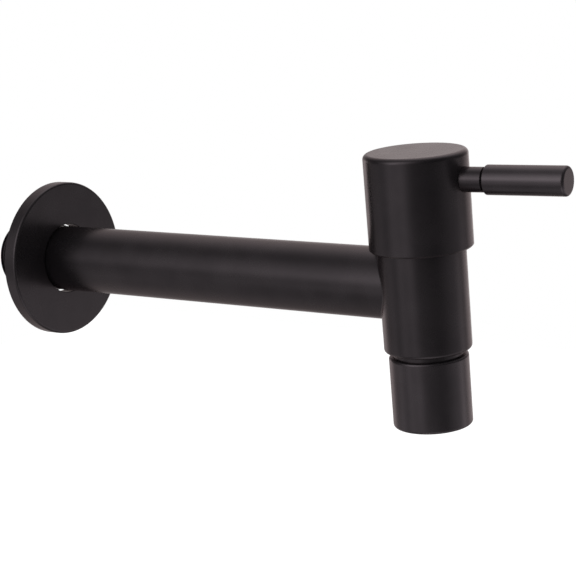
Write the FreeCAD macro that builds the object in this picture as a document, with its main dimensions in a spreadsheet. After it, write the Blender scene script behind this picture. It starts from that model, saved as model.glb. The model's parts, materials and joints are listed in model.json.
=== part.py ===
import FreeCAD, Part
import math
import os
from types import SimpleNamespace

import Sketcher

# Wall-mounted quarter-turn cold water tap, in millimetres.
# The origin is where the inlet's axis meets the wall. +Z is up and the tap stands out along -Y.

# Driving dimensions
DIMENSIONS = (
    # Wall side
    ("reach", 173.0),
    ("tube_diameter", 25.4),
    ("tube_wall", 1.5),
    ("inlet_thread_diameter", 26.441),
    ("inlet_thread_length", 20.5),
    ("pipe_thread_pitch", 1.814),
    ("pipe_thread_depth", 1.162),
    ("inlet_bore", 16.0),
    ("spigot_length", 9.0),
    ("flange_diameter", 60.4),
    ("flange_thickness", 5.4),
    ("flange_edge", 0.9),
    ("flange_hole_edge", 0.2),
    ("flange_gap", 0.38),
    # Valve body
    ("body_diameter", 30.8),
    ("body_drop", 22.4),
    ("lip_wall", 0.6),
    ("body_edge", 1.1),
    ("port_diameter", 16.0),
    ("chamber_rise", 10.0),
    ("chamber_undercut", 1.0),
    ("seat_drop", 12.0),
    ("seat_thickness", 3.0),
    ("seat_bore", 13.4),
    ("outlet_bore", 17.0),
    ("neck_depth", 1.4),
    ("neck_height", 1.85),
    ("stub_diameter", 24.0),
    ("stub_length", 8.6),
    ("stub_thread_pitch", 1.0),
    ("stub_thread_depth", 0.6),
    # Glide ring under the cap's skirt
    ("glide_groove_depth", 1.4),
    ("glide_height", 2.4),
    ("glide_inset", 0.7),
    ("glide_split", 1.2),
    # Headwork
    ("headwork_thread_diameter", 20.955),
    ("thread_lead", 0.5),
    ("nose_wall", 1.2),
    ("stem_bore", 10.0),
    ("hex_land", 0.1),
    ("hex_depth", 0.7),
    ("hex_height", 5.0),
    ("crown_diameter", 15.2),
    ("crown_height", 4.5),
    ("stop_depth", 2.5),
    ("window_width", 10.0),
    ("window_height", 4.5),
    ("window_sill", 0.3),
    ("headwork_ring_section", 1.8),
    ("headwork_ring_room", 2.07),
    # Discs, seal and driver
    ("seal_height", 3.5),
    ("seal_stand", 1.5),
    ("fixed_disc_height", 3.5),
    ("moving_disc_height", 3.2),
    ("moving_disc_inset", 0.2),
    ("port_inner_radius", 2.4),
    ("port_angle", 80.0),
    ("lug_width", 3.0),
    ("tongue_width", 2.9),
    ("tongue_height", 1.2),
    ("driver_bar_width", 4.8),
    ("driver_bar_height", 2.0),
    ("driver_hub_diameter", 8.4),
    ("driver_hub_height", 5.0),
    ("driver_inset", 0.6),
    ("square_width", 5.0),
    ("square_length", 3.2),
    # Spindle
    ("collar_height", 2.8),
    ("collar_inset", 0.4),
    ("thrust_washer_height", 0.8),
    ("thrust_washer_inset", 0.3),
    ("seal_section", 1.4),
    ("seal_groove_width", 2.0),
    ("seal_groove_step", 5.0),
    ("seal_groove_rise", 5.0),
    ("shaft_shoulder", 3.5),
    ("spline_diameter", 8.0),
    ("spline_depth", 0.4),
    ("spline_root_width", 0.8),
    ("spline_crest_width", 0.36),
    ("spline_edge", 0.5),
    ("clip_height", 0.8),
    ("clip_depth", 0.9),
    ("clip_width", 2.4),
    ("clip_mouth", 3.0),
    ("stop_ring_height", 1.2),
    ("stop_ring_inset", 0.2),
    ("stop_tab_width", 2.4),
    ("stop_tab_inset", 0.4),
    ("stop_tab_room", 0.2),
    ("turn_angle", 90.0),
    # Handle
    ("handle_open", 5.3),
    ("cap_wall", 2.1),
    ("skirt_gap", 0.6),
    ("cap_tube_gap", 0.8),
    ("cap_round", 1.8),
    ("cap_chamfer", 0.6),
    ("cap_roof", 3.8),
    ("core_gap", 0.85),
    ("insert_diameter", 14.0),
    ("insert_height", 12.0),
    ("insert_roof", 2.0),
    ("lever_rise", 6.15),
    ("lever_thread_diameter", 6.0),
    ("lever_thread_pitch", 1.0),
    ("lever_thread_depth", 0.55),
    ("lever_stud_length", 5.5),
    ("spot_depth", 0.3),
    ("stem_diameter", 8.65),
    ("stem_length", 7.6),
    ("stem_groove_width", 0.9),
    ("stem_groove_diameter", 7.0),
    ("grip_diameter", 10.24),
    ("grip_length", 29.3),
    ("grip_round", 1.0),
    ("grip_chamfer", 0.3),
    ("grip_pin_diameter", 5.0),
    ("grip_pin_length", 9.7),
    ("grub_point_diameter", 3.8),
    ("grub_point_room", 0.2),
    ("grub_inset", 0.3),
    ("grub_socket_width", 3.0),
    ("grub_socket_depth", 2.2),
    # Nozzle and aerator
    ("nozzle_wall", 1.95),
    ("nozzle_length", 25.4),
    ("nozzle_round", 1.0),
    ("nozzle_top_edge", 1.0),
    ("nozzle_mouth_edge", 0.3),
    ("nozzle_ledge", 1.15),
    ("washer_height", 2.0),
    ("cage_rim_height", 3.0),
    ("cage_air_gap", 0.5),
    ("cage_wall", 0.8),
    ("cage_recess", 0.8),
    ("cage_floor", 1.5),
    ("diffuser_ledge", 1.1),
    ("diffuser_height", 1.6),
    ("screen_height", 0.5),
    ("screen_ledge", 0.8),
    ("screen_rise", 2.9),
    ("spray_hole", 1.5),
    ("diffuser_hole", 1.2),
    ("screen_hole", 1.6),
    ("hole_step", 2.2),
    ("hole_offset", 0.77),
    # Clearances
    ("fit_gap", 0.05),
    ("run_gap", 0.05),
    ("loose_gap", 0.1),
    ("blind_gap", 0.5),
    # How far a cut runs past the piece
    ("overrun", 1.0),
)

SPLINE_TEETH = 20
HALF_TOOTH = math.pi / SPLINE_TEETH
SPINDLE_RINGS = 2
SCREENS = 2
HOLE_RINGS = (6, 12, 18)
HEX_CORNER = 1 / math.sqrt(3)
STOP_SLACK_ANGLE = 1.0
ROUNDED_SHARE = 0.75
THREAD_MOUTH_SHARE = 0.66
THREAD_FIRST_SHARE = 0.75
THREAD_LAST_SHARE = 0.35


class Size:
    """A size worked out from the sheet: its number, and the expression that gives it"""

    def __init__(self, value, text):
        self.value = value
        self.text = text

    def __add__(self, other):
        return combine(self, "+", other, self.value + number(other))

    def __sub__(self, other):
        return combine(self, "-", other, self.value - number(other))

    def __mul__(self, other):
        return combine(self, "*", other, self.value * number(other))

    def __truediv__(self, other):
        return combine(self, "/", other, self.value / number(other))

    def __neg__(self):
        return Size(-self.value, f"(-{self.text})")


def number(term):
    return term.value if isinstance(term, Size) else term


def combine(left, sign, right, value):
    right_text = right.text if isinstance(right, Size) else str(right)
    return Size(value, f"({left.text} {sign} {right_text})")


def larger(one, other):
    return Size(max(one.value, other.value), f"max({one.text}; {other.text})")


def smaller(one, other):
    return Size(min(one.value, other.value), f"min({one.text}; {other.text})")


def whole(size):
    """The whole number of times that a size goes"""
    return Size(math.floor(size.value), f"floor({size.text})")


def angle_of(half_width, radius):
    """Degrees between a radius and the corner of a tab that stands on it"""
    value = math.degrees(math.asin(half_width.value / radius.value))
    return Size(value, f"(asin({half_width.text} / {radius.text}) / 1 deg)")


NOTHING = Size(0.0, "0")
QUARTER_TURN = Size(90.0, "90")

doc = FreeCAD.newDocument("WallTap")
sheet = doc.addObject("Spreadsheet::Sheet", "Dims")


def fill_sheet():
    sizes = {}
    for row, (name, value) in enumerate(DIMENSIONS, start=1):
        sheet.set(f"A{row}", name)
        sheet.set(f"B{row}", str(value))
        sheet.setAlias(f"B{row}", name)
        sizes[name] = Size(value, f"Dims.{name}")
    doc.recompute()
    return SimpleNamespace(**sizes)


d = fill_sheet()

# Radii that several pieces share
tube_radius = d.tube_diameter / 2
tube_bore_radius = tube_radius - d.tube_wall
inlet_thread_radius = d.inlet_thread_diameter / 2
body_radius = d.body_diameter / 2
cap_bore_radius = body_radius + d.skirt_gap
cap_radius = cap_bore_radius + d.cap_wall
headwork_thread_radius = d.headwork_thread_diameter / 2
headwork_hole_radius = headwork_thread_radius + d.fit_gap
headwork_recess_radius = headwork_hole_radius + d.headwork_ring_room
nose_radius = headwork_thread_radius - d.pipe_thread_depth - d.loose_gap
disc_bore_radius = nose_radius - d.nose_wall
seat_radius = d.seat_bore / 2
stem_bore_radius = d.stem_bore / 2
crown_radius = d.crown_diameter / 2
stop_tab_root = stem_bore_radius + d.stop_tab_inset
stop_ring_radius = crown_radius - d.stop_ring_inset
shaft_radius = stem_bore_radius - d.run_gap
spline_radius = d.spline_diameter / 2
spline_root_radius = spline_radius - d.spline_depth
insert_radius = d.insert_diameter / 2
stud_radius = d.lever_thread_diameter / 2
stub_radius = d.stub_diameter / 2
nozzle_bore_radius = stub_radius + d.fit_gap
nozzle_radius = nozzle_bore_radius + d.nozzle_wall
nozzle_mouth_radius = nozzle_bore_radius - d.nozzle_ledge
cage_radius = nozzle_mouth_radius - d.cage_air_gap
cage_bore_radius = cage_radius - d.cage_wall

# Levels on the valve body's axis, measured from the inlet's axis
body_bottom = -d.body_drop
stub_shoulder = body_bottom - d.neck_height
stub_end = stub_shoulder - d.stub_length
seat_level = -d.seat_drop
cap_base = tube_radius + d.cap_tube_gap
glide_base = cap_base + d.glide_inset
glide_top = glide_base + d.glide_height
body_top = glide_top + d.lip_wall + d.headwork_ring_section
crown_base = body_top + d.hex_height
crown_top = crown_base + d.crown_height

nose_bottom = seat_level + d.seal_stand
seal_top = seat_level + d.seal_height
fixed_disc_top = seal_top + d.fixed_disc_height
moving_disc_top = fixed_disc_top + d.moving_disc_height
driver_top = moving_disc_top + d.driver_hub_height
collar_top = driver_top + d.collar_height
washer_top = collar_top + d.thrust_washer_height
stop_ring_base = crown_top + d.run_gap
stop_ring_top = stop_ring_base + d.stop_ring_height
clip_base = stop_ring_top + d.loose_gap
clip_top = clip_base + d.clip_height
core_base = clip_top + d.core_gap
insert_top = core_base + d.insert_height
insert_socket_top = insert_top - d.insert_roof
spline_top = insert_socket_top - d.blind_gap
cap_top = insert_top + d.cap_roof
lever_height = core_base + d.lever_rise

washer_base = stub_end - d.washer_height
cage_ledge = washer_base - d.cage_rim_height
nozzle_bottom = stub_shoulder - d.nozzle_length
cage_bottom = nozzle_bottom + d.cage_recess
cage_floor_top = cage_bottom + d.cage_floor
screen_base = cage_floor_top + d.screen_rise
screen_top = screen_base + d.screen_height * SCREENS
diffuser_top = washer_base - d.loose_gap
diffuser_base = diffuser_top - d.diffuser_height

# Distances from the valve body's axis along the lever
lever_seat = cap_radius - d.spot_depth
stem_end = lever_seat + d.stem_length
grip_start = stem_end + d.stem_groove_width
stud_start = lever_seat - d.lever_stud_length
grub_start = insert_radius + d.grub_inset
grub_end = stud_start - d.blind_gap


# Building blocks

def bind(target, name, size):
    target.setExpression(name, size.text)


def new_body(label):
    body = doc.addObject("PartDesign::Body", label)
    body.Label = label
    return body


def place(body, turn, y=NOTHING, z=NOTHING):
    body.Placement = FreeCAD.Placement(FreeCAD.Vector(0, y.value, z.value), turn)
    for axis, size in (("y", y), ("z", z)):
        if size is not NOTHING:
            bind(body, f"Placement.Base.{axis}", size)


def stand_upright(body):
    """On the valve body's vertical axis, with heights measured from the inlet's axis"""
    place(body, FreeCAD.Rotation(), y=-d.reach)


def turn_upright(body, ahead=NOTHING):
    """On the valve body's vertical axis, turned with the handle and so many degrees ahead of it"""
    angle = d.handle_open + ahead
    place(body, FreeCAD.Rotation(FreeCAD.Vector(0, 0, 1), angle.value), y=-d.reach)
    bind(body, "Placement.Rotation.Angle", angle)


def point_with_lever(body):
    """The piece's own Z runs out of the valve body's axis at the lever's height, along the lever"""
    upright = FreeCAD.Rotation(FreeCAD.Vector(0, 0, 1), d.handle_open.value)
    lying = FreeCAD.Rotation(FreeCAD.Vector(1, 0, 0), 90)
    place(body, upright * lying, y=-d.reach, z=lever_height)
    body.setExpression("Placement.Rotation", "rotation(vector(0; 0; 1); Dims.handle_open)"
                       " * rotation(vector(1; 0; 0); 90)")


def point_out_of_wall(body):
    """The piece's own Z runs along -Y, away from the wall"""
    place(body, FreeCAD.Rotation(FreeCAD.Vector(1, 0, 0), 90))


def point_into_wall(body):
    """The piece's own Z runs along +Y, into the wall"""
    place(body, FreeCAD.Rotation(FreeCAD.Vector(1, 0, 0), -90))


def new_sketch(body, role, name, offset=None):
    planes = {feature.Role: feature for feature in body.Origin.OriginFeatures}
    sketch = body.newObject("Sketcher::SketchObject", f"{body.Label}_{name}")
    sketch.AttachmentSupport = [(planes[role], "")]
    sketch.MapMode = "FlatFace"
    if offset is not None:
        sketch.AttachmentOffset = FreeCAD.Placement(FreeCAD.Vector(0, 0, offset.value), FreeCAD.Rotation())
        bind(sketch, "AttachmentOffset.Base.z", offset)
    return sketch


def tie(sketch, geometry, point, x, y):
    """Holds one point of a sketch by its two distances from the sketch's origin"""
    for kind, axis, size in (("DistanceX", -2, x), ("DistanceY", -1, y)):
        if size is NOTHING:
            sketch.addConstraint(Sketcher.Constraint("PointOnObject", geometry, point, axis))
        else:
            index = sketch.addConstraint(Sketcher.Constraint(kind, -1, 1, geometry, point, size.value))
            bind(sketch, f"Constraints[{index}]", size)


def draw_outline(sketch, corners):
    """Closed outline of straight lines"""
    first = sketch.GeometryCount
    count = len(corners)
    for index, (x, y) in enumerate(corners):
        next_x, next_y = corners[(index + 1) % count]
        start = FreeCAD.Vector(x.value, y.value, 0)
        end = FreeCAD.Vector(next_x.value, next_y.value, 0)
        sketch.addGeometry(Part.LineSegment(start, end), False)
    for index in range(count):
        following = first + (index + 1) % count
        sketch.addConstraint(Sketcher.Constraint("Coincident", first + index, 2, following, 1))
    for index, (x, y) in enumerate(corners):
        tie(sketch, first + index, 1, x, y)


def draw_rectangle(sketch, left, right, bottom, top):
    draw_outline(sketch, [(left, bottom), (right, bottom), (right, top), (left, top)])


def draw_hexagon(sketch, half_width):
    corner = half_width * (2 * HEX_CORNER)
    draw_outline(sketch, [
        (corner, NOTHING),
        (corner / 2, half_width),
        (-corner / 2, half_width),
        (-corner, NOTHING),
        (-corner / 2, -half_width),
        (corner / 2, -half_width),
    ])


def draw_circle(sketch, x, y, radius):
    centre = FreeCAD.Vector(x.value, y.value, 0)
    circle = sketch.addGeometry(Part.Circle(centre, FreeCAD.Vector(0, 0, 1), radius.value), False)
    tie(sketch, circle, 3, x, y)
    index = sketch.addConstraint(Sketcher.Constraint("Radius", circle, radius.value))
    bind(sketch, f"Constraints[{index}]", radius)


def turn_profile(body, corners, name="profile"):
    """Revolves an outline of (radius, height) corners about the piece's own Z"""
    sketch = new_sketch(body, "XZ_Plane", name)
    draw_outline(sketch, corners)
    revolution = body.newObject("PartDesign::Revolution", f"{body.Label}_turned")
    revolution.Profile = sketch
    revolution.ReferenceAxis = (sketch, ["V_Axis"])
    revolution.Angle = 360
    doc.recompute()
    return revolution


def must_change(body, before, grows):
    change = body.Shape.Volume - before
    if (change <= 0) if grows else (change >= 0):
        raise RuntimeError(f"{body.Label}: {body.Tip.Label} does not change the piece as meant")


def pad(body, sketch, height, reverse=False):
    before = body.Shape.Volume if body.Tip else 0.0
    feature = body.newObject("PartDesign::Pad", f"{sketch.Label}_pad")
    feature.Profile = sketch
    feature.Reversed = reverse
    bind(feature, "Length", height)
    doc.recompute()
    must_change(body, before, grows=True)
    return feature


def pocket(body, sketch, depth=None, reverse=False):
    """Cuts to a depth on one side of the sketch, or right through on both sides"""
    before = body.Shape.Volume
    feature = body.newObject("PartDesign::Pocket", f"{sketch.Label}_pocket")
    feature.Profile = sketch
    feature.Reversed = reverse
    if depth is None:
        feature.Type = "ThroughAll"
        feature.SideType = "Symmetric"
    else:
        bind(feature, "Length", depth)
    doc.recompute()
    must_change(body, before, grows=False)
    return feature


def groove(body, sketch, angle=None):
    """Cuts a turned groove, all round or over an angle that the sketch's plane halves"""
    before = body.Shape.Volume
    feature = body.newObject("PartDesign::Groove", f"{sketch.Label}_groove")
    feature.Profile = sketch
    feature.ReferenceAxis = (sketch, ["V_Axis"])
    feature.Angle = 360
    if angle is not None:
        feature.Midplane = True
        bind(feature, "Angle", angle)
    doc.recompute()
    must_change(body, before, grows=False)
    return feature


def repeat_round(body, feature, count):
    """Repeats a feature round the piece's own Z"""
    axes = {item.Role: item for item in body.Origin.OriginFeatures}
    pattern = body.newObject("PartDesign::PolarPattern", f"{feature.Label}_round")
    pattern.Originals = [feature]
    pattern.Axis = (axes["Z_Axis"], [""])
    pattern.Angle = 360
    pattern.Occurrences = count
    body.Tip = pattern
    doc.recompute()


def repeat_along(body, feature, step, count):
    """Repeats a feature along the piece's own Z"""
    axes = {item.Role: item for item in body.Origin.OriginFeatures}
    pattern = body.newObject("PartDesign::LinearPattern", f"{feature.Label}_row")
    pattern.Originals = [feature]
    pattern.Direction = (axes["Z_Axis"], [""])
    bind(pattern, "Length", step * (count - 1))
    bind(pattern, "Occurrences", count)
    body.Tip = pattern
    doc.recompute()


def cut_thread(body, crest_radius, depth, pitch, start, length):
    """A thread's form as parallel V grooves, with a flat crest between them"""
    sketch = new_sketch(body, "XZ_Plane", "thread")
    outside = crest_radius + d.fit_gap
    half_mouth = pitch * (THREAD_MOUTH_SHARE / 2)
    middle = start + pitch * THREAD_FIRST_SHARE
    root = crest_radius - depth
    draw_outline(sketch, [
        (outside, middle - half_mouth),
        (outside, middle + half_mouth),
        (root, middle),
    ])
    feature = groove(body, sketch)
    repeat_along(body, feature, pitch, whole((length - pitch * THREAD_LAST_SHARE) / pitch))


def rim_edges(body, radius, level, tolerance=1e-4):
    """Names of the round edges about the piece's own Z, of one radius and at one level"""
    shape = body.Tip.Shape
    names = []
    for index, edge in enumerate(shape.Edges, start=1):
        curve = edge.Curve
        if not isinstance(curve, Part.Circle):
            continue
        centre = curve.Center
        on_axis = math.hypot(centre.x, centre.y) < tolerance
        same_radius = abs(curve.Radius - radius.value) < tolerance
        same_level = abs(centre.z - level.value) < tolerance
        if on_axis and same_radius and same_level:
            names.append(f"Edge{index}")
    if not names:
        raise RuntimeError(f"{body.Label}: no rim of radius {radius.value} at {level.value}")
    return names


def finish_rim(body, kind, radius, level, size):
    """Rounds or chamfers one rim; kind is Fillet or Chamfer"""
    previous = body.Tip
    names = rim_edges(body, radius, level)
    feature = body.newObject(f"PartDesign::{kind}", f"{body.Label}_{kind.lower()}_{len(body.Group)}")
    feature.Base = (previous, names)
    bind(feature, "Radius" if kind == "Fillet" else "Size", size)
    doc.recompute()


def cut_notches(body, top, depth, inner, outer, turn):
    """Notches all round, cut down from a level; inner and outer are each a radius and a half width"""
    sketch = new_sketch(body, "XY_Plane", "notch", top)
    along, across = math.cos(turn), math.sin(turn)
    corners = []
    for radius, offset in ((inner[0], -inner[1]), (outer[0], -outer[1]), outer, inner):
        corners.append((radius * along - offset * across, radius * across + offset * along))
    draw_outline(sketch, corners)
    repeat_round(body, pocket(body, sketch, depth), SPLINE_TEETH)


def cut_shaft_spline(body, top, depth):
    """Leaves teeth on the spline's diameter, with a notch in line with the piece's own X"""
    root_gap = spline_root_radius * math.sin(HALF_TOOTH) - d.spline_root_width / 2
    crest_gap = spline_radius * math.sin(HALF_TOOTH) - d.spline_crest_width / 2
    cut_notches(body, top, depth, (spline_root_radius, root_gap), (spline_radius + d.fit_gap, crest_gap), 0)


def cut_splined_hole(body, top, depth, turn):
    """Hole whose notches take the teeth of the spindle's spline, down from a level"""
    hole = new_sketch(body, "XY_Plane", "hole", top)
    draw_circle(hole, NOTHING, NOTHING, spline_root_radius + d.fit_gap)
    pocket(body, hole, depth)
    root_room = d.spline_root_width / 2 + d.fit_gap
    crest_room = d.spline_crest_width / 2 + d.fit_gap
    cut_notches(body, top, depth, (spline_root_radius, root_room),
                (spline_radius + d.fit_gap, crest_room), turn)


def drill_rings(body, top, depth, hole, step):
    """One hole in the middle and rings of holes round it, cut down from a level"""
    sketch = new_sketch(body, "XY_Plane", "middle_hole", top)
    draw_circle(sketch, NOTHING, NOTHING, hole / 2)
    pocket(body, sketch, depth)
    for ring, count in enumerate(HOLE_RINGS, start=1):
        sketch = new_sketch(body, "XY_Plane", f"ring_{ring}_hole", top)
        draw_circle(sketch, step * ring + d.hole_offset, NOTHING, hole / 2)
        repeat_round(body, pocket(body, sketch, depth), count)


def turned_piece(label, corners, placing=stand_upright):
    body = new_body(label)
    placing(body)
    turn_profile(body, corners)
    return body


def disc_corners(radius, bottom, top):
    return [(NOTHING, bottom), (radius, bottom), (radius, top), (NOTHING, top)]


def plain_ring(label, inner, outer, bottom, top, placing=stand_upright):
    return turned_piece(label, [(inner, bottom), (outer, bottom), (outer, top), (inner, top)], placing)


def sealing_ring(label, centre_radius, section, level):
    torus = doc.addObject("Part::Torus", label)
    torus.Label = label
    bind(torus, "Radius1", centre_radius)
    bind(torus, "Radius2", section / 2)
    bind(torus, "Placement.Base.y", -d.reach)
    bind(torus, "Placement.Base.z", level)
    return torus


# Wall side

def make_supply_tube():
    """Straight tube whose front end is cut to the valve body's round wall"""
    body = plain_ring("supply_tube", tube_bore_radius, tube_radius, NOTHING, d.reach, point_out_of_wall)
    sketch = new_sketch(body, "XZ_Plane", "saddle")
    draw_circle(sketch, NOTHING, d.reach, body_radius)
    pocket(body, sketch)
    return body


def make_inlet_nipple():
    """Male pipe thread with a spigot that is brazed into the tube"""
    bore = d.inlet_bore / 2
    spigot = tube_bore_radius - d.fit_gap
    lead = inlet_thread_radius - d.pipe_thread_depth
    body = turned_piece("inlet_nipple", [
        (bore, -d.spigot_length),
        (spigot, -d.spigot_length),
        (spigot, NOTHING),
        (inlet_thread_radius, NOTHING),
        (inlet_thread_radius, d.inlet_thread_length - d.pipe_thread_depth),
        (lead, d.inlet_thread_length),
        (bore, d.inlet_thread_length),
    ], point_into_wall)
    straight = d.inlet_thread_length - d.pipe_thread_depth
    cut_thread(body, inlet_thread_radius, d.pipe_thread_depth, d.pipe_thread_pitch, NOTHING, straight)
    return body


def make_wall_flange():
    """Loose disc whose hole passes over the inlet's thread and the tube"""
    hole = larger(inlet_thread_radius, tube_radius) + d.flange_gap
    edge = d.flange_diameter / 2
    body = plain_ring("wall_flange", hole, edge, NOTHING, d.flange_thickness, point_out_of_wall)
    finish_rim(body, "Fillet", edge, d.flange_thickness, d.flange_edge)
    finish_rim(body, "Chamfer", hole, d.flange_thickness, d.flange_hole_edge)
    return body


# Valve body

def make_valve_body():
    """Turned body: headwork thread above, chamber and seat inside, threaded stub below"""
    groove_bottom = glide_base - d.fit_gap
    groove_top = glide_top + d.fit_gap
    groove_floor = body_radius - d.glide_groove_depth
    recess_floor = body_top - d.headwork_ring_section
    chamber_radius = headwork_hole_radius + d.chamber_undercut
    outlet_radius = d.outlet_bore / 2
    neck_radius = nozzle_radius - d.neck_depth
    seat_underside = seat_level - d.seat_thickness
    body = turned_piece("valve_body", [
        (headwork_recess_radius, body_top),
        (body_radius, body_top),
        (body_radius, groove_top),
        (groove_floor, groove_top),
        (groove_floor, groove_bottom),
        (body_radius, groove_bottom),
        (body_radius, body_bottom),
        (neck_radius, body_bottom),
        (neck_radius, stub_shoulder),
        (stub_radius, stub_shoulder),
        (stub_radius, stub_end),
        (outlet_radius, stub_end),
        (outlet_radius, seat_underside),
        (seat_radius, seat_underside),
        (seat_radius, seat_level),
        (chamber_radius, seat_level),
        (chamber_radius, d.chamber_rise),
        (headwork_hole_radius, d.chamber_rise),
        (headwork_hole_radius, recess_floor),
        (headwork_recess_radius, recess_floor),
    ])
    port = new_sketch(body, "XZ_Plane", "port")
    draw_circle(port, NOTHING, NOTHING, d.port_diameter / 2)
    pocket(body, port, body_radius + d.overrun)
    cut_thread(body, stub_radius, d.stub_thread_depth, d.stub_thread_pitch, stub_end, d.stub_length)
    land = body_radius - neck_radius
    finish_rim(body, "Fillet", body_radius, body_bottom, smaller(d.body_edge, land * ROUNDED_SHARE))
    finish_rim(body, "Chamfer", body_radius, body_top, d.body_edge / 2)
    return body


def make_glide_ring():
    """Split plastic ring that snaps into the body's groove and centres the cap"""
    inner = body_radius - d.glide_groove_depth + d.fit_gap
    outer = cap_bore_radius - d.run_gap
    body = plain_ring("glide_ring", inner, outer, glide_base, glide_top)
    split = new_sketch(body, "XY_Plane", "split", glide_top)
    draw_rectangle(split, inner - d.overrun, outer + d.overrun, -d.glide_split / 2, d.glide_split / 2)
    pocket(body, split, d.glide_height)
    return body


# Headwork

def make_cartridge_housing():
    """Brass headwork with side windows, disc slots, hexagon and quarter-turn notch"""
    thread_bottom = d.chamber_rise - d.thread_lead
    bore_roof = washer_top + d.run_gap
    hex_half = headwork_recess_radius + d.hex_land
    hex_outer = hex_half + d.hex_depth
    body = turned_piece("cartridge_housing", [
        (disc_bore_radius, nose_bottom),
        (nose_radius, nose_bottom),
        (nose_radius, thread_bottom),
        (headwork_thread_radius, thread_bottom),
        (headwork_thread_radius, body_top),
        (hex_outer, body_top),
        (hex_outer, crown_base),
        (crown_radius, crown_base),
        (crown_radius, crown_top),
        (stem_bore_radius, crown_top),
        (stem_bore_radius, bore_roof),
        (disc_bore_radius, bore_roof),
    ])
    flats = new_sketch(body, "XY_Plane", "flats", crown_base)
    draw_hexagon(flats, hex_half)
    draw_circle(flats, NOTHING, NOTHING, hex_half * 2)
    pocket(body, flats, d.hex_height)
    windows = new_sketch(body, "YZ_Plane", "windows")
    half_window = d.window_width / 2
    window_base = moving_disc_top + d.window_sill
    draw_rectangle(windows, -half_window, half_window, window_base, window_base + d.window_height)
    pocket(body, windows)
    slots = new_sketch(body, "XZ_Plane", "slots")
    half_slot = d.lug_width / 2 + d.fit_gap
    draw_rectangle(slots, -half_slot, half_slot, nose_bottom - d.fit_gap, fixed_disc_top)
    pocket(body, slots)
    notch = new_sketch(body, "XZ_Plane", "stop_notch")
    notch_bottom = crown_top - d.stop_depth
    draw_rectangle(notch, stem_bore_radius - d.overrun, crown_radius + d.overrun,
                   notch_bottom, crown_top + d.overrun)
    tab_angle = angle_of(d.stop_tab_width / 2, stop_tab_root) * 2
    groove(body, notch, d.turn_angle + tab_angle + 2 * STOP_SLACK_ANGLE)
    thread_length = body_top - thread_bottom - d.headwork_ring_section
    cut_thread(body, headwork_thread_radius, d.pipe_thread_depth, d.pipe_thread_pitch,
               thread_bottom, thread_length)
    return body


def make_cartridge_o_ring():
    section = d.headwork_ring_section
    centre = (headwork_hole_radius + headwork_recess_radius) / 2
    return sealing_ring("cartridge_o_ring", centre, section, body_top - section / 2)


def make_seat_seal():
    return plain_ring("seat_seal", seat_radius, disc_bore_radius - d.fit_gap, seat_level, seal_top)


def cut_disc_ports(body, bottom, top):
    """Two sector openings opposite each other, on the disc's own X"""
    sketch = new_sketch(body, "XZ_Plane", "port")
    outer = seat_radius - d.loose_gap
    draw_rectangle(sketch, d.port_inner_radius, outer, bottom - d.fit_gap, top + d.fit_gap)
    repeat_round(body, groove(body, sketch, d.port_angle), 2)


def make_fixed_disc():
    """Ceramic disc with two lugs in the headwork's slots"""
    body = turned_piece("fixed_disc", disc_corners(disc_bore_radius - d.fit_gap, seal_top, fixed_disc_top))
    lugs = new_sketch(body, "XY_Plane", "lugs", seal_top)
    half = d.lug_width / 2
    for side in (1, -1):
        near = (disc_bore_radius - d.overrun) * side
        far = nose_radius * side
        draw_rectangle(lugs, -half, half, near, far)
    pad(body, lugs, d.fixed_disc_height)
    cut_disc_ports(body, seal_top, fixed_disc_top)
    return body


def make_moving_disc():
    """Ceramic disc with the same openings, a quarter turn away when shut, and a slot for the driver"""
    body = new_body("moving_disc")
    turn_upright(body, QUARTER_TURN)
    outer = disc_bore_radius - d.moving_disc_inset
    turn_profile(body, disc_corners(outer, fixed_disc_top, moving_disc_top))
    cut_disc_ports(body, fixed_disc_top, moving_disc_top)
    slot = new_sketch(body, "XY_Plane", "slot", moving_disc_top)
    half = d.tongue_width / 2 + d.fit_gap
    draw_rectangle(slot, -half, half, -disc_bore_radius, disc_bore_radius)
    pocket(body, slot, d.tongue_height + d.fit_gap)
    return body


def make_disc_driver():
    """Plastic hub with a bar across the disc, a tongue below and a square socket above"""
    body = new_body("disc_driver")
    turn_upright(body, QUARTER_TURN)
    hub = new_sketch(body, "XY_Plane", "hub", moving_disc_top)
    draw_circle(hub, NOTHING, NOTHING, d.driver_hub_diameter / 2)
    pad(body, hub, d.driver_hub_height)
    half_length = disc_bore_radius - d.driver_inset
    for name, width, height, down in (
        ("bar", d.driver_bar_width, d.driver_bar_height, False),
        ("tongue", d.tongue_width, d.tongue_height, True),
    ):
        sketch = new_sketch(body, "XY_Plane", name, moving_disc_top)
        draw_rectangle(sketch, -width / 2, width / 2, -half_length, half_length)
        pad(body, sketch, height, reverse=down)
    socket = new_sketch(body, "XY_Plane", "socket", driver_top)
    half = d.square_width / 2 + d.fit_gap
    draw_rectangle(socket, -half, half, -half, half)
    pocket(body, socket, d.square_length + d.loose_gap)
    return body


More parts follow.
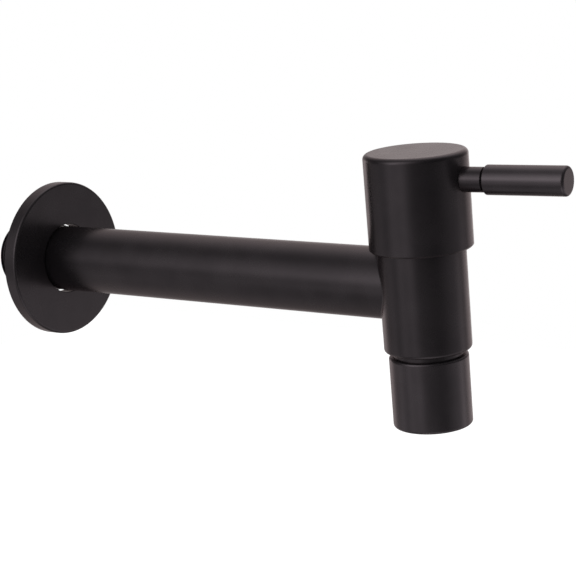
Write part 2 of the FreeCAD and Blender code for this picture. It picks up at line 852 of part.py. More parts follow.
def make_spindle():
    """Brass spindle: square foot, collar, two ring grooves, clip groove and splined top"""
    collar_radius = disc_bore_radius - d.collar_inset
    shoulder = crown_top - d.shaft_shoulder
    body = turned_piece("spindle", [
        (NOTHING, driver_top),
        (collar_radius, driver_top),
        (collar_radius, collar_top),
        (shaft_radius, collar_top),
        (shaft_radius, shoulder),
        (spline_radius, shoulder),
        (spline_radius, spline_top),
        (NOTHING, spline_top),
    ], turn_upright)
    finish_rim(body, "Chamfer", spline_radius, spline_top, d.spline_edge)
    foot = new_sketch(body, "XY_Plane", "foot", driver_top)
    half = d.square_width / 2
    draw_rectangle(foot, -half, half, -half, half)
    pad(body, foot, d.square_length, reverse=True)
    ring_groove = new_sketch(body, "XZ_Plane", "ring_groove")
    floor = stem_bore_radius - d.seal_section - d.run_gap
    base = washer_top + d.seal_groove_rise
    draw_rectangle(ring_groove, floor, stem_bore_radius, base, base + d.seal_groove_width)
    ring_count = Size(SPINDLE_RINGS, str(SPINDLE_RINGS))
    repeat_along(body, groove(body, ring_groove), d.seal_groove_step, ring_count)
    clip_groove = new_sketch(body, "XZ_Plane", "clip_groove")
    clip_floor = spline_radius - d.clip_depth
    draw_rectangle(clip_groove, clip_floor, spline_radius + d.overrun,
                   clip_base - d.fit_gap, clip_top + d.fit_gap)
    groove(body, clip_groove)
    cut_shaft_spline(body, spline_top, spline_top - stop_ring_base)
    return body


def make_spindle_o_rings():
    """Two rings in the spindle's grooves, clear of the bore that they wipe"""
    rings = []
    section = d.seal_section - d.run_gap
    centre = stem_bore_radius - d.run_gap / 2 - d.seal_section / 2
    base = washer_top + d.seal_groove_rise + d.seal_groove_width / 2
    for index in range(SPINDLE_RINGS):
        level = base + d.seal_groove_step * index
        rings.append(sealing_ring(f"spindle_ring_{index + 1}", centre, section, level))
    group = doc.addObject("Part::Compound", "spindle_o_rings")
    group.Label = "spindle_o_rings"
    group.Links = rings
    return group


def make_thrust_washer():
    inner = stem_bore_radius + d.run_gap
    outer = disc_bore_radius - d.thrust_washer_inset
    return plain_ring("thrust_washer", inner, outer, collar_top, washer_top)


def make_stop_ring():
    """Ring on the spline, whose tab runs in the headwork's notch; it starts near the shut end.
    It stands an eighth of a turn back, which is a whole number of teeth and a half"""
    body = new_body("stop_ring")
    turn_upright(body, -d.turn_angle / 2)
    blank = new_sketch(body, "XY_Plane", "blank", stop_ring_base)
    draw_circle(blank, NOTHING, NOTHING, stop_ring_radius)
    pad(body, blank, d.stop_ring_height)
    tab = new_sketch(body, "XY_Plane", "tab", stop_ring_base)
    half = d.stop_tab_width / 2
    draw_rectangle(tab, stop_tab_root, stop_ring_radius - d.stop_ring_inset, -half, half)
    pad(body, tab, d.stop_depth - d.stop_tab_room, reverse=True)
    cut_splined_hole(body, stop_ring_top, d.stop_ring_height, 0)
    return body


def make_spindle_circlip():
    """Open clip in the spindle's groove, above the stop ring"""
    inner = spline_radius - d.clip_depth + d.fit_gap
    outer = inner + d.clip_width
    body = plain_ring("spindle_circlip", inner, outer, clip_base, clip_top, turn_upright)
    mouth = new_sketch(body, "XY_Plane", "mouth", clip_top)
    draw_rectangle(mouth, -outer - d.overrun, NOTHING, -d.clip_mouth / 2, d.clip_mouth / 2)
    pocket(body, mouth, d.clip_height)
    return body


# Handle

def make_handle_insert():
    """Splined bush pressed into the cap, with a side hole for the grub screw's point"""
    body = turned_piece("handle_insert", disc_corners(insert_radius, core_base, insert_top), turn_upright)
    cut_splined_hole(body, insert_socket_top, insert_socket_top - core_base, HALF_TOOTH)
    side = new_sketch(body, "XZ_Plane", "side_hole")
    draw_circle(side, NOTHING, lever_height, d.grub_point_diameter / 2 + d.grub_point_room)
    pocket(body, side, insert_radius + d.overrun, reverse=True)
    return body


def make_handle_cap():
    """Cap whose skirt hides the headwork, bored for the insert and tapped for the lever"""
    bore = insert_radius + d.fit_gap
    body = turned_piece("handle_cap", [
        (cap_bore_radius, cap_base),
        (cap_radius, cap_base),
        (cap_radius, cap_top),
        (NOTHING, cap_top),
        (NOTHING, insert_top),
        (bore, insert_top),
        (bore, core_base),
        (cap_bore_radius, core_base),
    ], turn_upright)
    finish_rim(body, "Fillet", cap_radius, cap_top, d.cap_round)
    finish_rim(body, "Chamfer", cap_radius, cap_base, d.cap_chamfer)
    tapped = new_sketch(body, "XZ_Plane", "tapped_hole")
    draw_circle(tapped, NOTHING, lever_height, stud_radius)
    pocket(body, tapped, cap_radius + d.overrun, reverse=True)
    spot = new_sketch(body, "XZ_Plane", "spot_face", lever_seat)
    draw_circle(spot, NOTHING, lever_height, d.stem_diameter / 2 + d.loose_gap)
    pocket(body, spot, d.spot_depth + d.overrun, reverse=True)
    return body


def make_handle_grub_screw():
    """Grub screw behind the lever: its point reaches the spindle through the insert"""
    point = d.grub_point_diameter / 2
    thread = stud_radius - d.fit_gap
    tip = spline_radius + d.fit_gap
    body = turned_piece("handle_grub_screw", [
        (NOTHING, tip),
        (point, tip),
        (point, grub_start),
        (thread, grub_start),
        (thread, grub_end),
        (NOTHING, grub_end),
    ], point_with_lever)
    socket = new_sketch(body, "XY_Plane", "socket", grub_end)
    draw_hexagon(socket, d.grub_socket_width / 2)
    pocket(body, socket, d.grub_socket_depth)
    cut_thread(body, thread, d.lever_thread_depth, d.lever_thread_pitch, grub_start, grub_end - grub_start)
    return body


def make_lever_stem():
    """Stud into the cap, visible neck, thin groove, and a pin that holds the grip"""
    thread = stud_radius - d.fit_gap
    neck = d.stem_diameter / 2
    waist = d.stem_groove_diameter / 2
    pin = d.grip_pin_diameter / 2
    pin_end = grip_start + d.grip_pin_length
    body = turned_piece("lever_stem", [
        (NOTHING, stud_start),
        (thread, stud_start),
        (thread, lever_seat),
        (neck, lever_seat),
        (neck, stem_end),
        (waist, stem_end),
        (waist, grip_start),
        (pin, grip_start),
        (pin, pin_end),
        (NOTHING, pin_end),
    ], point_with_lever)
    cut_thread(body, thread, d.lever_thread_depth, d.lever_thread_pitch, stud_start, d.lever_stud_length)
    return body


def make_lever_grip():
    """Plain rod with a softened tip, bored for the stem's pin"""
    bore = d.grip_pin_diameter / 2 + d.fit_gap
    edge = d.grip_diameter / 2
    tip = grip_start + d.grip_length
    bore_end = grip_start + d.grip_pin_length + d.blind_gap
    body = turned_piece("lever_grip", [
        (bore, grip_start),
        (edge, grip_start),
        (edge, tip),
        (NOTHING, tip),
        (NOTHING, bore_end),
        (bore, bore_end),
    ], point_with_lever)
    finish_rim(body, "Fillet", edge, tip, d.grip_round)
    finish_rim(body, "Chamfer", edge, grip_start, d.grip_chamfer)
    return body


# Nozzle and aerator

def make_nozzle_sleeve():
    """Sleeve screwed on the stub, with a ledge that carries the aerator"""
    body = turned_piece("nozzle_sleeve", [
        (nozzle_bore_radius, stub_shoulder),
        (nozzle_radius, stub_shoulder),
        (nozzle_radius, nozzle_bottom),
        (nozzle_mouth_radius, nozzle_bottom),
        (nozzle_mouth_radius, cage_ledge),
        (nozzle_bore_radius, cage_ledge),
    ])
    finish_rim(body, "Fillet", nozzle_radius, nozzle_bottom, d.nozzle_round)
    finish_rim(body, "Fillet", nozzle_radius, stub_shoulder, d.nozzle_top_edge)
    finish_rim(body, "Chamfer", nozzle_mouth_radius, nozzle_bottom, d.nozzle_mouth_edge)
    return body


def make_nozzle_washer():
    return plain_ring("nozzle_washer", d.outlet_bore / 2 + d.fit_gap, nozzle_bore_radius - d.loose_gap,
                      washer_base, stub_end)


def make_aerator_cage():
    """Plastic cup that hangs from the ledge by its rim, with a spray floor"""
    rim = nozzle_bore_radius - d.loose_gap
    recess = cage_bore_radius + d.diffuser_ledge
    ledge = cage_bore_radius - d.screen_ledge
    body = turned_piece("aerator_cage", [
        (recess, washer_base),
        (rim, washer_base),
        (rim, cage_ledge),
        (cage_radius, cage_ledge),
        (cage_radius, cage_bottom),
        (NOTHING, cage_bottom),
        (NOTHING, cage_floor_top),
        (ledge, cage_floor_top),
        (ledge, screen_base),
        (cage_bore_radius, screen_base),
        (cage_bore_radius, diffuser_base),
        (recess, diffuser_base),
    ])
    drill_rings(body, cage_floor_top, d.cage_floor, d.spray_hole, d.hole_step)
    return body


def make_aerator_diffuser():
    outer = cage_bore_radius + d.diffuser_ledge - d.fit_gap
    body = turned_piece("aerator_diffuser", disc_corners(outer, diffuser_base, diffuser_top))
    drill_rings(body, diffuser_top, d.diffuser_height, d.diffuser_hole, d.hole_step)
    return body


def make_aerator_spacer():
    outer = cage_bore_radius - d.loose_gap
    return plain_ring("aerator_spacer", outer - d.screen_ledge, outer, screen_top, diffuser_base)


def make_aerator_screens():
    """Screens that lie on each other on the cage's inner ledge"""
    screens = []
    outer = cage_bore_radius - d.loose_gap
    for index in range(SCREENS):
        bottom = screen_base + d.screen_height * index
        top = bottom + d.screen_height
        screen = turned_piece(f"screen_{index + 1}", disc_corners(outer, bottom, top))
        drill_rings(screen, top, d.screen_height, d.screen_hole, d.hole_step)
        screens.append(screen)
    group = doc.addObject("Part::Compound", "aerator_screens")
    group.Label = "aerator_screens"
    group.Links = screens
    return group


MAKERS = (
    make_supply_tube,
    make_inlet_nipple,
    make_wall_flange,
    make_valve_body,
    make_glide_ring,
    make_cartridge_housing,
    make_cartridge_o_ring,
    make_seat_seal,
    make_fixed_disc,
    make_moving_disc,
    make_disc_driver,
    make_spindle,
    make_spindle_o_rings,
    make_thrust_washer,
    make_stop_ring,
    make_spindle_circlip,
    make_handle_insert,
    make_handle_cap,
    make_handle_grub_screw,
    make_lever_stem,
    make_lever_grip,
    make_nozzle_sleeve,
    make_nozzle_washer,
    make_aerator_cage,
    make_aerator_diffuser,
    make_aerator_spacer,
    make_aerator_screens,
)


def check_and_write(pieces):
    doc.recompute()
    failed = [item.Label for item in doc.Objects if {"Invalid", "Error"} & set(item.State)]
    if failed:
        raise RuntimeError(f"failed: {', '.join(failed)}")
    for piece in pieces:
        if piece.Shape.isNull() or not piece.Shape.isValid():
            raise RuntimeError(f"{piece.Label} has no valid shape")
    os.makedirs("parts", exist_ok=True)
    for piece in pieces:
        piece.Shape.exportStep(f"parts/{piece.Label}.step")
        print(f"{piece.Label}: {len(piece.Shape.Solids)} solids, {piece.Shape.Volume:.1f} mm3")


check_and_write([make() for make in MAKERS])
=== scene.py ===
import json
import math

import bmesh
import bpy
from mathutils import Matrix, Vector


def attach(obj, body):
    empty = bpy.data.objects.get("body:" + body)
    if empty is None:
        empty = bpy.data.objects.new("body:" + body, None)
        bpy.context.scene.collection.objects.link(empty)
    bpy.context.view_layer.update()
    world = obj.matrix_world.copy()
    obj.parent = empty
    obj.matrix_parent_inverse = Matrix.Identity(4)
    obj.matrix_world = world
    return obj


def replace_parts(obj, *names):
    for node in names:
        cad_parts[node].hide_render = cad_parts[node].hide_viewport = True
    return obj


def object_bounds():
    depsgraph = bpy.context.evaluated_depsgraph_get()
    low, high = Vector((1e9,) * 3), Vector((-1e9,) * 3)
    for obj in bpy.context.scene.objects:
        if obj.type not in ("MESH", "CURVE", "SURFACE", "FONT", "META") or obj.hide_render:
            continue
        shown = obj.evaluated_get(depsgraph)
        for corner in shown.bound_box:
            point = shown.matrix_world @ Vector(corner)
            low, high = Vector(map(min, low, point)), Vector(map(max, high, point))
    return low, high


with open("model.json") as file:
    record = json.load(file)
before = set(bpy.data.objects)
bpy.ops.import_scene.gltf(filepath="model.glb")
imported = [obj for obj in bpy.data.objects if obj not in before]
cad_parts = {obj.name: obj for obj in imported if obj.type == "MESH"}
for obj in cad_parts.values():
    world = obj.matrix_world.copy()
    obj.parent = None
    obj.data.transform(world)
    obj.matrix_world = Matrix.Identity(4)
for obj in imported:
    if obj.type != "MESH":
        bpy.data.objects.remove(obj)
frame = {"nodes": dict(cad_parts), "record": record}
CAD_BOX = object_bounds()

# Camera, fitted to the edges of the object in the photograph
PHOTO_SIZE = 576
CAMERA_AZIMUTH = math.radians(-52.644)
CAMERA_ELEVATION = math.radians(12.848)
CAMERA_ROLL = math.radians(-4.861)
FOCAL_PIXELS = 1847.3
CAMERA_DISTANCE = 0.68965
CAMERA_RIGHT = 0.02179
CAMERA_UP = -0.00844
SENSOR_WIDTH = 36.0
CLIP_START = 0.01
CLIP_END = 20.0

# Sizes that the pieces built here share with the solids they belong to, in metres
REACH = 0.173
TUBE_RADIUS = 0.0127
BODY_RADIUS = 0.0154
THREAD_RADIUS = 0.0132205
THREAD_DEPTH = 0.001162
THREAD_PITCH = 0.001814
THREAD_LENGTH = 0.0205
SPIGOT_RADIUS = 0.01115
SPIGOT_LENGTH = 0.009
INLET_BORE_RADIUS = 0.008

# The thread's rounding, the fillet's size, and how finely both are drawn
THREAD_SEGMENTS = 96
THREAD_ROWS_PER_TURN = 16
THREAD_ROUNDING = 0.12
SEAM_LEG = 0.00045
SEAM_ROOT = 0.0002
SEAM_SEGMENTS = 160
SEAM_ROWS = 6
SHARP_ANGLE = math.radians(38.0)

# The room round the object
FLOOR_DROP = 0.25
FLOOR_HALF = 0.9
FLOOR_CORNERS = ((-1, -1), (1, -1), (1, 1), (-1, 1))
FLOOR_COLOUR = (0.82, 0.82, 0.82, 1.0)
FLOOR_LIFT = 0.4
WHITE = (1.0, 1.0, 1.0, 1.0)
ROOM_COLOUR = (1.0, 0.97, 0.96, 1.0)
ROOM_LEVEL = 0.01
PLAIN_LEVEL = 0.91

# Soft cards that the reflections see: azimuth and elevation in degrees, sharpness, radiance.
# They and PLAIN_LEVEL are the rounded output of a program that fitted renders to the photo's shading
CARDS = (
    (114, -11, 10, 1.05),
    (-102, 29, 8, 1.75),
    (25, -36, 8, 0.75),
    (163, -5, 45, 1.15),
    (-119, -14, 44, 0.6),
    (102, 58, 6, 1.65),
    (-114, 14, 52, 1.2),
    (-150, -23, 43, 0.6),
    (-65, -57, 8, 1.2),
    (76, -17, 51, 0.75),
    (-175, -36, 6, 0.55),
    (47, -23, 58, 1.2),
    (-92, -11, 41, 0.55),
    (141, 62, 8, 0.1),
)

# The coating: darkest and lightest colour, and how many times lighter two pieces are
COATING_DARK = (0.0415, 0.0366, 0.0404)
COATING_LIGHT = (0.0480, 0.0423, 0.0467)
COATING_METALLIC = 0.86
COATING_EDGE_TINT = (1.0, 0.9, 0.9, 1.0)
SLEEVE_SHADE = 1.34
GRIP_SHADE = 1.3

# The other materials, darkest and lightest colour
BRASS_DARK = (0.56, 0.37, 0.15)
BRASS_LIGHT = (0.70, 0.50, 0.23)
CERAMIC_DARK = (0.80, 0.78, 0.72)
CERAMIC_LIGHT = (0.86, 0.85, 0.80)
CERAMIC_IOR = 1.7
RUBBER_DARK = (0.012, 0.012, 0.013)
RUBBER_LIGHT = (0.022, 0.022, 0.023)
WHITE_PLASTIC_DARK = (0.74, 0.74, 0.70)
WHITE_PLASTIC_LIGHT = (0.80, 0.80, 0.77)
GREY_PLASTIC_DARK = (0.30, 0.31, 0.32)
GREY_PLASTIC_LIGHT = (0.36, 0.37, 0.38)
STEEL_DARK = (0.48, 0.48, 0.47)
STEEL_LIGHT = (0.64, 0.64, 0.62)
BRUSHED = (1.0, 1.0, 8.0)

# The part of a noise's range that is spread out, for colours and for other values
COLOUR_SPREAD = (0.35, 0.65)
VALUE_SPREAD = (0.3, 0.7)


def direction(azimuth, elevation):
    """Unit vector towards a place round the object; azimuth 0 is in front of the wall"""
    level = math.cos(elevation)
    return Vector((math.sin(azimuth) * level, -math.cos(azimuth) * level, math.sin(elevation)))


# Camera and room

def make_camera():
    back = direction(CAMERA_AZIMUTH, CAMERA_ELEVATION)
    right = Vector((math.cos(CAMERA_AZIMUTH), math.sin(CAMERA_AZIMUTH), 0.0))
    up = back.cross(right)
    middle = Vector((0.0, -REACH / 2, 0.0))
    place = middle + right * CAMERA_RIGHT + up * CAMERA_UP + back * CAMERA_DISTANCE
    rolled_right = right * math.cos(CAMERA_ROLL) + up * math.sin(CAMERA_ROLL)
    rolled_up = up * math.cos(CAMERA_ROLL) - right * math.sin(CAMERA_ROLL)
    data = bpy.data.cameras.new("camera")
    data.sensor_width = SENSOR_WIDTH
    data.lens = FOCAL_PIXELS * SENSOR_WIDTH / PHOTO_SIZE
    data.clip_start = CLIP_START
    data.clip_end = CLIP_END
    camera = bpy.data.objects.new("camera", data)
    bpy.context.scene.collection.objects.link(camera)
    turn = Matrix((rolled_right, rolled_up, back)).transposed().to_4x4()
    camera.matrix_world = Matrix.Translation(place) @ turn
    bpy.context.scene.camera = camera


def seen_rays(nodes, links):
    """1 for camera and transmission rays, which see the floor as white.

    It is 1 for glossy rays too, but without effect, because the floor is hidden from them.
    """
    path = nodes.new("ShaderNodeLightPath")
    first = nodes.new("ShaderNodeMath")
    first.operation = "MAXIMUM"
    links.new(path.outputs["Is Glossy Ray"], first.inputs[0])
    links.new(path.outputs["Is Transmission Ray"], first.inputs[1])
    second = nodes.new("ShaderNodeMath")
    second.operation = "MAXIMUM"
    links.new(path.outputs["Is Camera Ray"], second.inputs[0])
    links.new(first.outputs[0], second.inputs[1])
    return second.outputs[0]


def add_card(nodes, links, view, level, card):
    """Adds one soft-edged card to the light that the reflections see"""
    azimuth, elevation, sharpness, radiance = card
    towards = nodes.new("ShaderNodeVectorMath")
    towards.operation = "DOT_PRODUCT"
    links.new(view, towards.inputs[0])
    towards.inputs[1].default_value = direction(math.radians(azimuth), math.radians(elevation))
    fade = nodes.new("ShaderNodeMath")
    fade.operation = "MULTIPLY_ADD"
    links.new(towards.outputs["Value"], fade.inputs[0])
    fade.inputs[1].default_value = sharpness
    fade.inputs[2].default_value = -sharpness
    spot = nodes.new("ShaderNodeMath")
    spot.operation = "EXPONENT"
    links.new(fade.outputs[0], spot.inputs[0])
    total = nodes.new("ShaderNodeMath")
    total.operation = "MULTIPLY_ADD"
    links.new(spot.outputs[0], total.inputs[0])
    total.inputs[1].default_value = radiance
    links.new(level, total.inputs[2])
    return total.outputs[0]


def make_world():
    """White where it is seen, soft cards where it is reflected, and a plain level of light besides"""
    world = bpy.data.worlds.new("studio")
    bpy.context.scene.world = world
    world.use_nodes = True
    nodes, links = world.node_tree.nodes, world.node_tree.links
    nodes.clear()
    path = nodes.new("ShaderNodeLightPath")
    coords = nodes.new("ShaderNodeTexCoord")
    dim = nodes.new("ShaderNodeValue")
    dim.outputs[0].default_value = ROOM_LEVEL
    level = dim.outputs[0]
    for card in CARDS:
        level = add_card(nodes, links, coords.outputs["Generated"], level, card)
    room = nodes.new("ShaderNodeBackground")
    room.inputs["Color"].default_value = ROOM_COLOUR
    links.new(level, room.inputs["Strength"])
    plain = nodes.new("ShaderNodeBackground")
    plain.inputs["Color"].default_value = WHITE
    plain.inputs["Strength"].default_value = PLAIN_LEVEL
    white = nodes.new("ShaderNodeBackground")
    white.inputs["Color"].default_value = WHITE
    reflected = nodes.new("ShaderNodeMixShader")
    links.new(path.outputs["Is Glossy Ray"], reflected.inputs[0])
    links.new(plain.outputs[0], reflected.inputs[1])
    links.new(room.outputs[0], reflected.inputs[2])
    direct = nodes.new("ShaderNodeMath")
    direct.operation = "MAXIMUM"
    links.new(path.outputs["Is Camera Ray"], direct.inputs[0])
    links.new(path.outputs["Is Transmission Ray"], direct.inputs[1])
    final = nodes.new("ShaderNodeMixShader")
    links.new(direct.outputs[0], final.inputs[0])
    links.new(reflected.outputs[0], final.inputs[1])
    links.new(white.outputs[0], final.inputs[2])
    output = nodes.new("ShaderNodeOutputWorld")
    links.new(final.outputs[0], output.inputs["Surface"])


def make_floor():
    """Floor that looks white, is hidden from reflections and is clear from below.

    It is lifted above white, so the object's faint shadow on it clips and doesn't show.
    """
    mesh = bpy.data.meshes.new("floor")
    level = CAD_BOX[0].z - FLOOR_DROP
    corners = [(x * FLOOR_HALF, y * FLOOR_HALF - REACH / 2, level) for x, y in FLOOR_CORNERS]
    mesh.from_pydata(corners, [], [range(len(corners))])
    floor = bpy.data.objects.new("floor", mesh)
    bpy.context.scene.collection.objects.link(floor)
    material = bpy.data.materials.new("floor")
    material.use_nodes = True
    nodes, links = material.node_tree.nodes, material.node_tree.links
    nodes.clear()
    matt = nodes.new("ShaderNodeBsdfDiffuse")
    matt.inputs["Color"].default_value = FLOOR_COLOUR
    lift = nodes.new("ShaderNodeEmission")
    lift.inputs["Strength"].default_value = FLOOR_LIFT
    both = nodes.new("ShaderNodeAddShader")
    links.new(matt.outputs[0], both.inputs[0])
    links.new(lift.outputs[0], both.inputs[1])
    mix = nodes.new("ShaderNodeMixShader")
    links.new(seen_rays(nodes, links), mix.inputs[0])
    links.new(matt.outputs[0], mix.inputs[1])
    links.new(both.outputs[0], mix.inputs[2])
    side = nodes.new("ShaderNodeNewGeometry")
    clear = nodes.new("ShaderNodeBsdfTransparent")
    one_sided = nodes.new("ShaderNodeMixShader")
    links.new(side.outputs["Backfacing"], one_sided.inputs[0])
    links.new(mix.outputs[0], one_sided.inputs[1])
    links.new(clear.outputs[0], one_sided.inputs[2])
    output = nodes.new("ShaderNodeOutputMaterial")
    links.new(one_sided.outputs[0], output.inputs["Surface"])
    mesh.materials.append(material)
    floor.visible_glossy = False


# Materials

def new_material(name):
    material = bpy.data.materials.new(name)
    material.use_nodes = True
    nodes, links = material.node_tree.nodes, material.node_tree.links
    nodes.clear()
    shader = nodes.new("ShaderNodeBsdfPrincipled")
    output = nodes.new("ShaderNodeOutputMaterial")
    links.new(shader.outputs[0], output.inputs["Surface"])
    return material, nodes, links, shader


def noise(nodes, links, scale, detail, stretch=None):
    """Noise in the object's own metres; scale is in cells per metre"""
    coords = nodes.new("ShaderNodeTexCoord")
    texture = nodes.new("ShaderNodeTexNoise")
    texture.inputs["Scale"].default_value = scale
    texture.inputs["Detail"].default_value = detail
    source = coords.outputs["Object"]
    if stretch is not None:
        mapping = nodes.new("ShaderNodeMapping")
        mapping.inputs["Scale"].default_value = stretch
        links.new(source, mapping.inputs["Vector"])
        source = mapping.outputs["Vector"]
    links.new(source, texture.inputs["Vector"])
    return texture.outputs["Fac"]


def blend_colours(nodes, links, factor, dark, light):
    ramp = nodes.new("ShaderNodeValToRGB")
    stops = ramp.color_ramp.elements
    for stop, position, colour in zip(stops, COLOUR_SPREAD, (dark, light)):
        stop.position = position
        stop.color = (*colour, 1.0)
    links.new(factor, ramp.inputs["Fac"])
    return ramp.outputs["Color"]


def spread(nodes, links, factor, low, high):
    """A number that runs from low to high with the factor"""
    span = nodes.new("ShaderNodeMapRange")
    span.inputs["From Min"].default_value = VALUE_SPREAD[0]
    span.inputs["From Max"].default_value = VALUE_SPREAD[1]
    span.inputs["To Min"].default_value = low
    span.inputs["To Max"].default_value = high
    links.new(factor, span.inputs["Value"])
    return span.outputs["Result"]


def bump(nodes, links, height, depth, strength):
    """Surface relief; depth is in metres and strength a share"""
    relief = nodes.new("ShaderNodeBump")
    relief.inputs["Strength"].default_value = strength
    relief.inputs["Distance"].default_value = depth
    links.new(height, relief.inputs["Height"])
    return relief.outputs["Normal"]


def turned_rings(nodes, links, scale, detail):
    """Fine rings round the valve's upright axis, as a lathe leaves them"""
    coords = nodes.new("ShaderNodeTexCoord")
    split = nodes.new("ShaderNodeSeparateXYZ")
    links.new(coords.outputs["Object"], split.inputs[0])
    join = nodes.new("ShaderNodeCombineXYZ")
    links.new(split.outputs["Z"], join.inputs["X"])
    texture = nodes.new("ShaderNodeTexNoise")
    texture.inputs["Scale"].default_value = scale
    texture.inputs["Detail"].default_value = detail
    links.new(join.outputs[0], texture.inputs["Vector"])
    return texture.outputs["Fac"]


def black_coating(shade=1.0):
    """Satin black coating: almost even, with a fine grain and a soft cloudiness"""
    material, nodes, links, shader = new_material("black_coating")
    cloud = noise(nodes, links, scale=90.0, detail=4.0)
    grain = noise(nodes, links, scale=3200.0, detail=2.0)
    dark = [level * shade for level in COATING_DARK]
    light = [level * shade for level in COATING_LIGHT]
    links.new(blend_colours(nodes, links, cloud, dark, light), shader.inputs["Base Color"])
    links.new(spread(nodes, links, cloud, low=0.24, high=0.29), shader.inputs["Roughness"])
    links.new(bump(nodes, links, grain, depth=0.000012, strength=0.12), shader.inputs["Normal"])
    shader.inputs["Metallic"].default_value = COATING_METALLIC
    shader.inputs["Specular Tint"].default_value = COATING_EDGE_TINT
    return material


def brass():
    material, nodes, links, shader = new_material("brass")
    shader.inputs["Metallic"].default_value = 1.0
    cloud = noise(nodes, links, scale=220.0, detail=4.0)
    rings = turned_rings(nodes, links, scale=9000.0, detail=2.0)
    links.new(blend_colours(nodes, links, cloud, BRASS_DARK, BRASS_LIGHT), shader.inputs["Base Color"])
    links.new(spread(nodes, links, rings, low=0.22, high=0.38), shader.inputs["Roughness"])
    links.new(bump(nodes, links, rings, depth=0.00001, strength=0.6), shader.inputs["Normal"])
    return material


def ceramic():
    material, nodes, links, shader = new_material("ceramic")
    grain = noise(nodes, links, scale=2600.0, detail=3.0)
    links.new(blend_colours(nodes, links, grain, CERAMIC_DARK, CERAMIC_LIGHT), shader.inputs["Base Color"])
    links.new(spread(nodes, links, grain, low=0.18, high=0.30), shader.inputs["Roughness"])
    shader.inputs["IOR"].default_value = CERAMIC_IOR
    return material


def rubber():
    material, nodes, links, shader = new_material("rubber")
    grain = noise(nodes, links, scale=1800.0, detail=3.0)
    links.new(blend_colours(nodes, links, grain, RUBBER_DARK, RUBBER_LIGHT), shader.inputs["Base Color"])
    links.new(spread(nodes, links, grain, low=0.55, high=0.75), shader.inputs["Roughness"])
    links.new(bump(nodes, links, grain, depth=0.00002, strength=0.4), shader.inputs["Normal"])
    return material


def moulded_plastic(name, dark, light):
    material, nodes, links, shader = new_material(name)
    cloud = noise(nodes, links, scale=150.0, detail=3.0)
    grain = noise(nodes, links, scale=2400.0, detail=2.0)
    links.new(blend_colours(nodes, links, cloud, dark, light), shader.inputs["Base Color"])
    links.new(spread(nodes, links, cloud, low=0.38, high=0.48), shader.inputs["Roughness"])
    links.new(bump(nodes, links, grain, depth=0.00001, strength=0.4), shader.inputs["Normal"])
    return material


def steel():
    material, nodes, links, shader = new_material("steel")
    shader.inputs["Metallic"].default_value = 1.0
    brush = noise(nodes, links, scale=900.0, detail=3.0, stretch=BRUSHED)
    links.new(blend_colours(nodes, links, brush, STEEL_DARK, STEEL_LIGHT), shader.inputs["Base Color"])
    links.new(spread(nodes, links, brush, low=0.25, high=0.40), shader.inputs["Roughness"])
    return material


def make_materials():
    return {
        "black_coating": black_coating(),
        "brass": brass(),
        "ceramic": ceramic(),
        "rubber": rubber(),
        "white_plastic": moulded_plastic("white_plastic", WHITE_PLASTIC_DARK, WHITE_PLASTIC_LIGHT),
        "grey_plastic": moulded_plastic("grey_plastic", GREY_PLASTIC_DARK, GREY_PLASTIC_LIGHT),
        "steel": steel(),
    }


def dress_nodes(materials):
    """Gives every CAD node the material of its slot in the record, or a lighter shade of it"""
    shades = {"nozzle_sleeve": black_coating(SLEEVE_SHADE), "lever_grip": black_coating(GRIP_SHADE)}
    for entry in frame["record"]["subparts"]:
        data = frame["nodes"][entry["node"]].data
        material = shades.get(entry["node"], materials[entry["material_slot"]])
        if not data.materials:
            data.materials.append(material)
        for index in range(len(data.materials)):
            data.materials[index] = material


# Pieces

def closed_skin(name, rings, body, slot, materials):
    """Closed mesh through rings of points, each joined to the next and the last to the first"""
    mesh = bpy.data.meshes.new(name)
    work = bmesh.new()
    rows = [[work.verts.new(point) for point in ring] for ring in rings]
    for row, following in zip(rows, rows[1:] + rows[:1]):
        for index, corner in enumerate(row):
            after = (index + 1) % len(row)
            work.faces.new((corner, row[after], following[after], following[index])).smooth = True
    bmesh.ops.recalc_face_normals(work, faces=work.faces)
    work.to_mesh(mesh)
    work.free()
    mesh.set_sharp_from_angle(angle=SHARP_ANGLE)
    mesh.materials.append(materials[slot])
    piece = bpy.data.objects.new(name, mesh)
    bpy.context.scene.collection.objects.link(piece)
    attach(piece, body)
    return piece


def thread_radius(along, turn):
    """Outside of a right-hand thread at a distance along it and a share of a turn"""
    share = (along / THREAD_PITCH - turn) % 1.0
    height = abs(2.0 * share - 1.0)
    height -= THREAD_ROUNDING * math.sin(2.0 * math.pi * height)
    mouth = THREAD_RADIUS - max(0.0, along - (THREAD_LENGTH - THREAD_DEPTH))
    return min(THREAD_RADIUS - THREAD_DEPTH * (1.0 - height), mouth)


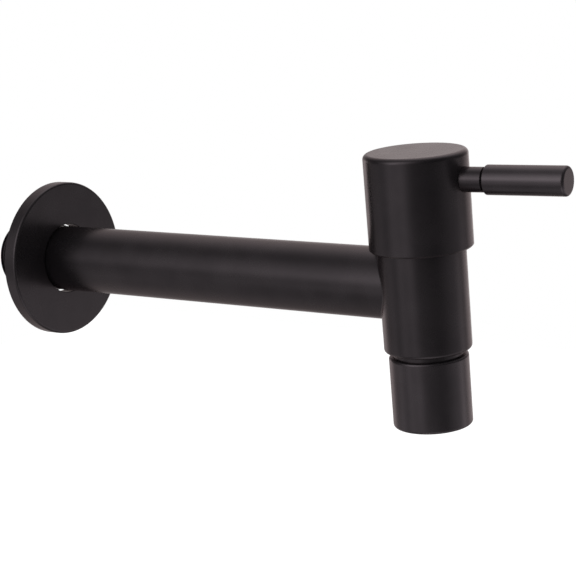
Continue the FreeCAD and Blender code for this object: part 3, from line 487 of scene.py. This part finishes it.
def round_ring(along, radius_at):
    """Points round the inlet's axis"""
    ring = []
    for index in range(THREAD_SEGMENTS):
        turn = index / THREAD_SEGMENTS
        angle = 2.0 * math.pi * turn
        radius = radius_at(turn)
        ring.append((radius * math.sin(angle), along, radius * math.cos(angle)))
    return ring


def make_inlet_thread(materials):
    """The nipple with its thread as one true helix"""
    rings = [round_ring(-SPIGOT_LENGTH, lambda turn: INLET_BORE_RADIUS)]
    rings.append(round_ring(-SPIGOT_LENGTH, lambda turn: SPIGOT_RADIUS))
    rings.append(round_ring(0.0, lambda turn: SPIGOT_RADIUS))
    row_count = round(THREAD_LENGTH / THREAD_PITCH * THREAD_ROWS_PER_TURN)
    for row in range(row_count + 1):
        along = THREAD_LENGTH * row / row_count
        rings.append(round_ring(along, lambda turn, along=along: thread_radius(along, turn)))
    rings.append(round_ring(THREAD_LENGTH, lambda turn: INLET_BORE_RADIUS))
    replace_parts(closed_skin("inlet_thread", rings, "tap", "black_coating", materials), "inlet_nipple")


def make_joint_seam(materials):
    """Thin brazed fillet where the tube meets the valve body"""
    rings = [[] for _ in range(SEAM_ROWS + 2)]
    for index in range(SEAM_SEGMENTS):
        angle = 2.0 * math.pi * index / SEAM_SEGMENTS
        outward = Vector((math.cos(angle), 0.0, math.sin(angle)))
        side = TUBE_RADIUS * outward.x
        stand = math.sqrt(BODY_RADIUS ** 2 - side ** 2)
        corner = Vector((side, stand - REACH, TUBE_RADIUS * outward.z))
        away = Vector((side, stand, 0.0)).normalized()
        along_body = (outward - away * outward.dot(away)).normalized()
        along_tube = Vector((0.0, 1.0, 0.0))
        start = corner + along_tube * SEAM_LEG
        end = corner + along_body * SEAM_LEG
        for row in range(SEAM_ROWS + 1):
            share = row / SEAM_ROWS
            near, far = (1.0 - share) ** 2, share ** 2
            rings[row].append(start * near + end * far + corner * (1.0 - near - far))
        rings[-1].append(corner - (along_tube + along_body) * SEAM_ROOT)
    closed_skin("joint_seam", rings, "tap", "black_coating", materials)


make_camera()
make_world()
make_floor()
bpy.context.scene.view_settings.view_transform = "Standard"
materials = make_materials()
dress_nodes(materials)
make_inlet_thread(materials)
make_joint_seam(materials)
